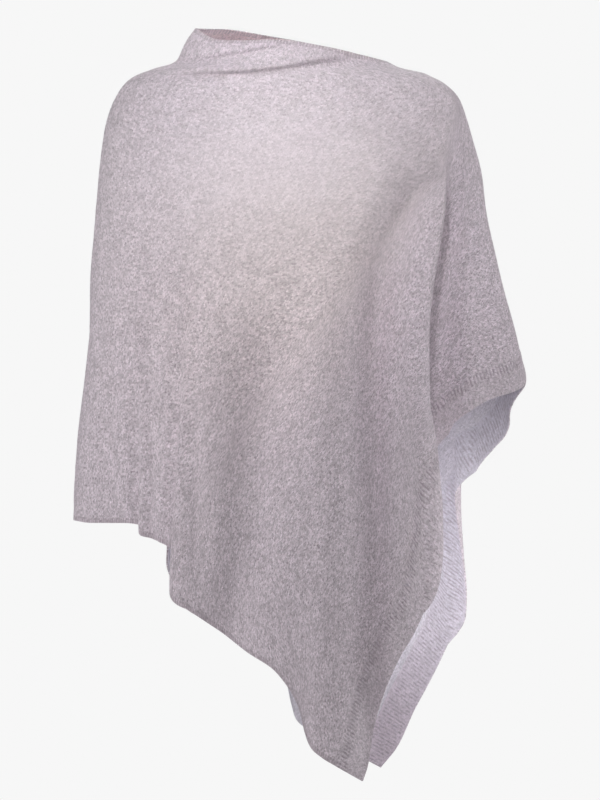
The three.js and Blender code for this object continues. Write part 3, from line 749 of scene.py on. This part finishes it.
def knitMaterial(name, finish, tones):
    material = bpy.data.materials.new(name)
    material.use_nodes = True
    tree = material.node_tree
    shader = tree.nodes["Principled BSDF"]
    spot = nodeIn(tree, "ShaderNodeUVMap", uv_map="clothSpot").outputs[0]

    def knitGroup(group, values, label=""):
        node = nodeIn(tree, "ShaderNodeGroup", label, node_tree=group)
        tree.links.new(spot, node.inputs["Spot"])
        for socket, value in values.items():
            node.inputs[socket].default_value = value
        return node

    stitches = knitGroup(stitchGroup, {"Wale Width": finish["wale"]})
    heather = knitGroup(heatherGroup, {"Light": finish["light"], "Middle": finish["middle"],
                                       "Dark": finish["dark"], "Calm": finish["calm"]})
    tree.links.new(stitches.outputs["Tint"], heather.inputs["Tint"])
    # the gaps between the stitch legs are darkened towards the dark colour: painted shade in these small
    # recesses
    gap = product(tree, mathNode(tree, "SUBTRACT", 1, stitches.outputs["Height"]), finish["gap"])
    colour = mixColour(tree, gap, heather.outputs["Colour"], finish["dark"])
    # each spot multiplies the colour: the chest, neck and low-rib spots are painted light, the warm middle is
    # the yarn's own tone
    for tone in tones:
        broad = knitGroup(toneGroup, {"Place": (*tone["place"], 0), "Reach": tone["reach"]}, tone["name"])
        colour = mixColour(tree, broad.outputs["Mask"], colour, tone["colour"], "MULTIPLY")
        if tone["calm"] > 0:
            tree.links.new(product(tree, broad.outputs["Mask"], tone["calm"]), heather.inputs["Calm"])
    edge = knitGroup(edgeGroup, {"Cloth Width": cloth["flatWidth"]}).outputs["Shade"]
    colour = mixColour(tree, product(tree, edge, finish["boundEdge"]), colour, finish["dark"])
    fuzz = product(tree, heather.outputs["Fuzz"], 0.7)
    relief = mathNode(tree, "SUBTRACT", mathNode(tree, "ADD", stitches.outputs["Height"], fuzz), edge)
    if "strokeRow" in finish:
        rowStart, rowEnd = finish["strokeRow"]
        strokes = knitGroup(strokeGroup, {
            "Rib Width": cloth["flatWidth"] / ribs["count"], "Half Length": cloth["flatLength"] / 2,
            "From": rowStart, "To": rowEnd,
        }).outputs["Shade"]
        # the grooves between ribs are darkened towards the dark colour: painted shade in the grooves
        colour = mixColour(tree, product(tree, strokes, finish["ribStrokePaintedShade"]), colour, finish["dark"])
        relief = mathNode(tree, "SUBTRACT", relief, strokes)
    tree.links.new(colour, shader.inputs["Base Color"])
    shader.inputs["Roughness"].default_value = finish["roughness"]
    shader.inputs["Specular IOR Level"].default_value = 0.12
    shader.inputs["Sheen Weight"].default_value = 0.25
    shader.inputs["Sheen Roughness"].default_value = 0.6
    shader.inputs["Sheen Tint"].default_value = (0.95, 0.92, 0.97, 1)
    bump = nodeIn(tree, "ShaderNodeBump")
    bump.inputs["Strength"].default_value = finish["bump"]
    bump.inputs["Distance"].default_value = 0.0006
    tree.links.new(relief, bump.inputs["Height"])
    tree.links.new(bump.outputs[0], shader.inputs["Normal"])
    return material


jersey = knitMaterial("jerseyKnit", finishes["jersey"], tonesAndPaintedLight["outer"])
jerseyInsidePaintedLight = knitMaterial("jerseyKnitInsidePaintedLight", finishes["jerseyInsidePaintedLight"], tonesAndPaintedLight["inner"])
rib = knitMaterial("ribKnit", finishes["rib"], [])
ribInsidePaintedLight = knitMaterial("ribKnitInsidePaintedLight", finishes["ribInsidePaintedLight"], tonesAndPaintedLight["innerRib"])
print("materials made")

bandFlat = ribs["width"] * mm
panelHalf = cloth["flatLength"] / 2 - bandFlat
halves = {half: halfGrid(half) for half in ("front", "back")}


def spotsOf(half, rowShares, shares):
    way = 1 if half == "front" else -1
    u, v = np.meshgrid(way * shares * panelHalf, rowShares * cloth["flatWidth"], indexing="ij")
    return np.stack([u, v], axis=-1)


# The panel: the back half from its ribbed end to the folded arm, then the front half
grids, spots = {}, {}
for half, (turns, heights, rowShares, shares) in halves.items():
    grids[half] = clothPoint(half, turns, heights)
    spots[half] = spotsOf(half, rowShares, shares)
panelPoints = np.concatenate([grids["back"][::-1], grids["front"][1:]])
panelSpots = np.concatenate([spots["back"][::-1], spots["front"][1:]])
panelNormals = gridNormals(panelPoints)
fromTop = panelSpots[..., 1] / cloth["flatWidth"]
fromEnd = 1 - np.abs(panelSpots[..., 0]) / panelHalf
fadeIn = ramp(fromTop, 0, rumple["plainAtTop"]) * ramp(fromEnd, 0, rumple["plainAtEnds"])
panelPoints = rumpled(panelPoints, panelNormals, fadeIn)
panelNormals = gridNormals(panelPoints)
knitShell = closedCloth("knitShell", panelPoints, panelNormals, np.zeros(panelPoints.shape[:2]),
                        panelSpots, (jersey, jerseyInsidePaintedLight))
print("panel made")


def bandShell(name, half):
    # the ribbed end, from the panel's last column to the short edge; its ribs run across the band
    panelTurn, panelZ = halves[half][:2]
    edgeTurn, edgeZ = bandLine(half, 0)
    lines = ribs["count"] * ribs["samplesPerRib"] + 1
    along = np.linspace(0, 1, lines)
    jointTurn, jointZ = evenly(half, panelTurn[-1], panelZ[-1], along)
    outTurn, outZ = evenly(half, edgeTurn[::-1], edgeZ[::-1], along)
    across = np.linspace(0, 1, ribs["rowsAcross"] + 1)
    turn = jointTurn[:, None] + (outTurn - jointTurn)[:, None] * across
    z = jointZ[:, None] + (outZ - jointZ)[:, None] * across
    points = clothPoint(half, turn, z)
    if half == "front":
        points, way = points.transpose(1, 0, 2), 1
    else:
        points, way = points[:, ::-1].transpose(1, 0, 2), -1
    normals = gridNormals(points)
    acrossHere = across if way == 1 else across[::-1]
    phase = 0.5 - 0.5 * np.cos(2 * math.pi * ribs["count"] * along)
    fromEdge = (1 - acrossHere) * ribs["width"]
    stroke = ramp(fromEdge, *ribs["strokeRise"]) * ramp(fromEdge, *ribs["strokeFall"])
    tall = ribs["height"] + (ribs["strokeHeight"] - ribs["height"]) * stroke
    fadeIn = ramp(fromEdge, ribs["width"], ribs["width"] - ribs["plainAtJoint"])
    raised = (phase[None, :] - 0.5) * (tall * fadeIn)[:, None]
    u = way * (panelHalf + acrossHere * bandFlat)
    v = along * cloth["flatWidth"]
    spot = np.stack(np.meshgrid(u, v, indexing="ij"), axis=-1)
    return closedCloth(name, points, normals, raised, spot, (rib, ribInsidePaintedLight))


frontRibs = bandShell("frontRibs", "front")
backRibs = bandShell("backRibs", "back")
print("ribbed ends made")

for piece, node, slotName in ((knitShell, "knit_panel", "jersey_knit"),
                              (frontRibs, "front_rib_band", "rib_knit"),
                              (backRibs, "back_rib_band", "rib_knit")):
    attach(piece, "root")
    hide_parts(node)

# Studio: pale floor, soft lights round the middle of the piece, long lens straight in front. Places are in
# metres, the lens and sensor in millimetres.
studio = {
    "floorHeight": -1.42,
    "floorSize": 16,
    "middle": (0, 0, -0.38),
    "frameHeight": 0.92,
    "lens": 800,
    "sensor": 36,
    "clipEnd": 200,
    "aimX": 0.01265,
    "aimZ": -0.391,
    "surround": 0.04,
    "backdrop": 0.93,
    "softLightAway": 3.2,
    "softLightSize": 1.8,
    "softLights": [
        {"name": "leftFrontLight", "around": -50, "up": 26, "power": 18},
        {"name": "leftLight", "around": -75, "up": 0, "power": 33},
        {"name": "frontLight", "around": 0, "up": 10, "power": 20},
        {"name": "rightHighLight", "around": 60, "up": 50, "power": 23},
        {"name": "rightEdgeLight", "around": 100, "up": 20, "power": 32},
        {"name": "backLight", "around": 180, "up": 30, "power": 60},
    ],
    "nearLights": [
        {"name": "chestLight", "place": (-0.15, -1.6, 1.4), "aim": (0.0, -0.12, -0.10), "size": 0.3,
         "power": 0.25, "spread": 13},
        {"name": "neckLight", "place": (-0.06, -0.5, 0.42), "aim": (-0.06, 0.04, 0.03), "size": 0.1,
         "power": 0.02, "spread": 20},
        {"name": "openSideLight", "place": (0.09, -0.02, -0.56), "aim": (0.19, 0.12, -0.52), "size": 0.2,
         "power": 0.17, "spread": 160},
        {"name": "openSideLowLight", "place": (0.42, -0.05, -0.62), "aim": (0.15, 0.12, -0.58), "size": 0.3,
         "power": 0.16, "spread": 60},
    ],
}

bpy.ops.object.select_all(action="DESELECT")
bpy.ops.mesh.primitive_plane_add(size=studio["floorSize"], location=(0, 0, studio["floorHeight"]))
floor = bpy.context.object
floor.name = "studioFloor"
floorMaterial = bpy.data.materials.new("studioFloor")
floorMaterial.use_nodes = True
floorShader = floorMaterial.node_tree.nodes["Principled BSDF"]
floorShader.inputs["Base Color"].default_value = (0.86, 0.86, 0.86, 1)
floorShader.inputs["Roughness"].default_value = 0.9
floor.data.materials.append(floorMaterial)


def addLight(name, place, aim, size, power, spread=180):
    bpy.ops.object.light_add(type="AREA", location=place)
    lamp = bpy.context.object
    lamp.name = name
    lamp.data.size = size
    lamp.data.energy = power
    lamp.data.spread = math.radians(spread)
    lamp.rotation_euler = (Vector(aim) - Vector(place)).to_track_quat("-Z", "Y").to_euler()
    lamp.visible_camera = False


middle = Vector(studio["middle"])
for light in studio["softLights"]:
    around, up = math.radians(light["around"]), math.radians(light["up"])
    way = Vector((math.sin(around) * math.cos(up), -math.cos(around) * math.cos(up), math.sin(up)))
    addLight(light["name"], middle + way * studio["softLightAway"], middle, studio["softLightSize"],
             light["power"])
for light in studio["nearLights"]:
    addLight(light["name"], light["place"], light["aim"], light["size"], light["power"], light["spread"])

world = bpy.data.worlds.new("studio")
world.use_nodes = True
bpy.context.scene.world = world
tree = world.node_tree
seen = nodeIn(tree, "ShaderNodeLightPath")
strength = nodeIn(tree, "ShaderNodeMix", data_type="FLOAT")
strength.inputs[2].default_value = studio["surround"]
strength.inputs[3].default_value = studio["backdrop"]
tree.links.new(seen.outputs["Is Camera Ray"], strength.inputs[0])
tree.nodes["Background"].inputs["Color"].default_value = (1, 1, 1, 1)
tree.links.new(strength.outputs[0], tree.nodes["Background"].inputs["Strength"])

cameraData = bpy.data.cameras.new("camera")
cameraData.lens = studio["lens"]
cameraData.sensor_width = studio["sensor"]
cameraData.clip_end = studio["clipEnd"]
camera = bpy.data.objects.new("camera", cameraData)
bpy.context.scene.collection.objects.link(camera)
distance = studio["frameHeight"] * studio["lens"] / studio["sensor"]
camera.location = (studio["aimX"], -distance, studio["aimZ"])
camera.rotation_euler = (math.radians(90), 0, 0)
bpy.context.scene.camera = camera
bpy.context.scene.view_settings.view_transform = "Standard"
print("studio made")
